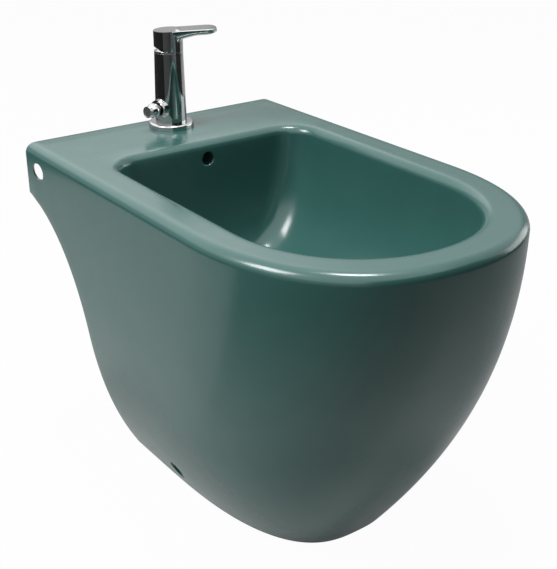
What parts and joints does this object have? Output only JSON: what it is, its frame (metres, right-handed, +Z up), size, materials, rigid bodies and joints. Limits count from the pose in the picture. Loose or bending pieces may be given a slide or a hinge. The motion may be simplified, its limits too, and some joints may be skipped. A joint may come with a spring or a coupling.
{
  "type": "bidet",
  "caption": "Floor-standing glazed ceramic bidet with a single-lever chrome mixer tap, swivelling outlet and push-down waste",
  "frame": {"origin": "Middle of the outer box on the floor: X = 0 is the bidet's plane of symmetry, Y = 0 is half way from the rim's front to the wall plane, Z = 0 is the floor.", "axes": "X runs to the right of someone facing the tap from the front, Y runs from the rim's front to the wall, Z runs up."},
  "size_m": [0.37, 0.5748, 0.5202],
  "materials": {
    "glaze": "satin-gloss sage green glaze",
    "chrome": "polished chrome plate on brass",
    "steel": "plain zinc-plated",
    "brass": "machined, uncoated",
    "rubber": "matt black",
    "plastic": "moulded, off-white",
    "disc_ceramic": "lapped, unglazed"
  },
  "bodies": {
    "bidet": {"ceramic_body": "glaze", "base_ring": "chrome", "base_gasket": "rubber", "tap_body": "chrome", "mounting_stud": "steel", "clamp_washer": "rubber", "clamp_plate": "steel", "clamp_nut": "brass", "cartridge_base": "plastic", "port_seals": "rubber", "cartridge_housing": "plastic", "fixed_disc": "disc_ceramic", "cartridge_nut": "brass", "dome_cover": "chrome", "swivel_gasket": "rubber", "swivel_base": "chrome", "waste_body": "chrome", "flange_seal": "rubber", "waste_washer": "rubber", "waste_backnut": "brass", "plug_sleeve": "brass"},
    "spindle": {"spindle_carrier": "plastic", "stem_pin": "steel"},
    "lever": {"lever_stem": "brass", "lever_handle": "chrome", "lever_screw": "steel"},
    "disc": {"moving_disc": "disc_ceramic", "disc_carrier": "plastic"},
    "outlet_cup": {"cup_washer": "plastic"},
    "outlet": {"outlet_housing": "chrome", "outlet_retainer": "chrome", "aerator_insert": "plastic"},
    "plug": {"plug_plunger": "brass", "plug_cap": "chrome", "plug_seal": "rubber"}
  },
  "joints": [
    {"name": "lever_turn", "type": "hinge", "parent": "bidet", "child": "spindle", "pos_m": [0, 0.247, 0.487], "axis": [0, 0, 1], "range_deg": [-45, 45]},
    {"name": "lever_lift", "type": "hinge", "parent": "spindle", "child": "lever", "pos_m": [0, 0.247, 0.487], "axis": [-0.5, -0.866, 0], "range_deg": [0, 15]},
    {"name": "disc_slide", "type": "slide", "parent": "spindle", "child": "disc", "axis": [0.866, -0.5, 0], "range_m": [0, 0.00375]},
    {"name": "outlet_turn", "type": "hinge", "parent": "bidet", "child": "outlet_cup", "pos_m": [-0.03008, 0.2395, 0.426], "axis": [-0.9703, -0.2419, 0], "continuous": true},
    {"name": "outlet_tilt", "type": "hinge", "parent": "outlet_cup", "child": "outlet", "pos_m": [-0.03008, 0.2395, 0.426], "axis": [0.2419, -0.9703, 0], "range_deg": [-15, 15]},
    {"name": "plug_push", "type": "slide", "parent": "bidet", "child": "plug", "axis": [0, 0, -1], "range_m": [0, 0.008], "stiffness_N_per_m": 400, "springref_m": -0.01}
  ],
  "couplings": [
    {"joint": "disc_slide", "follows": "lever_lift", "m_per_rad": 0.0143}
  ]
}
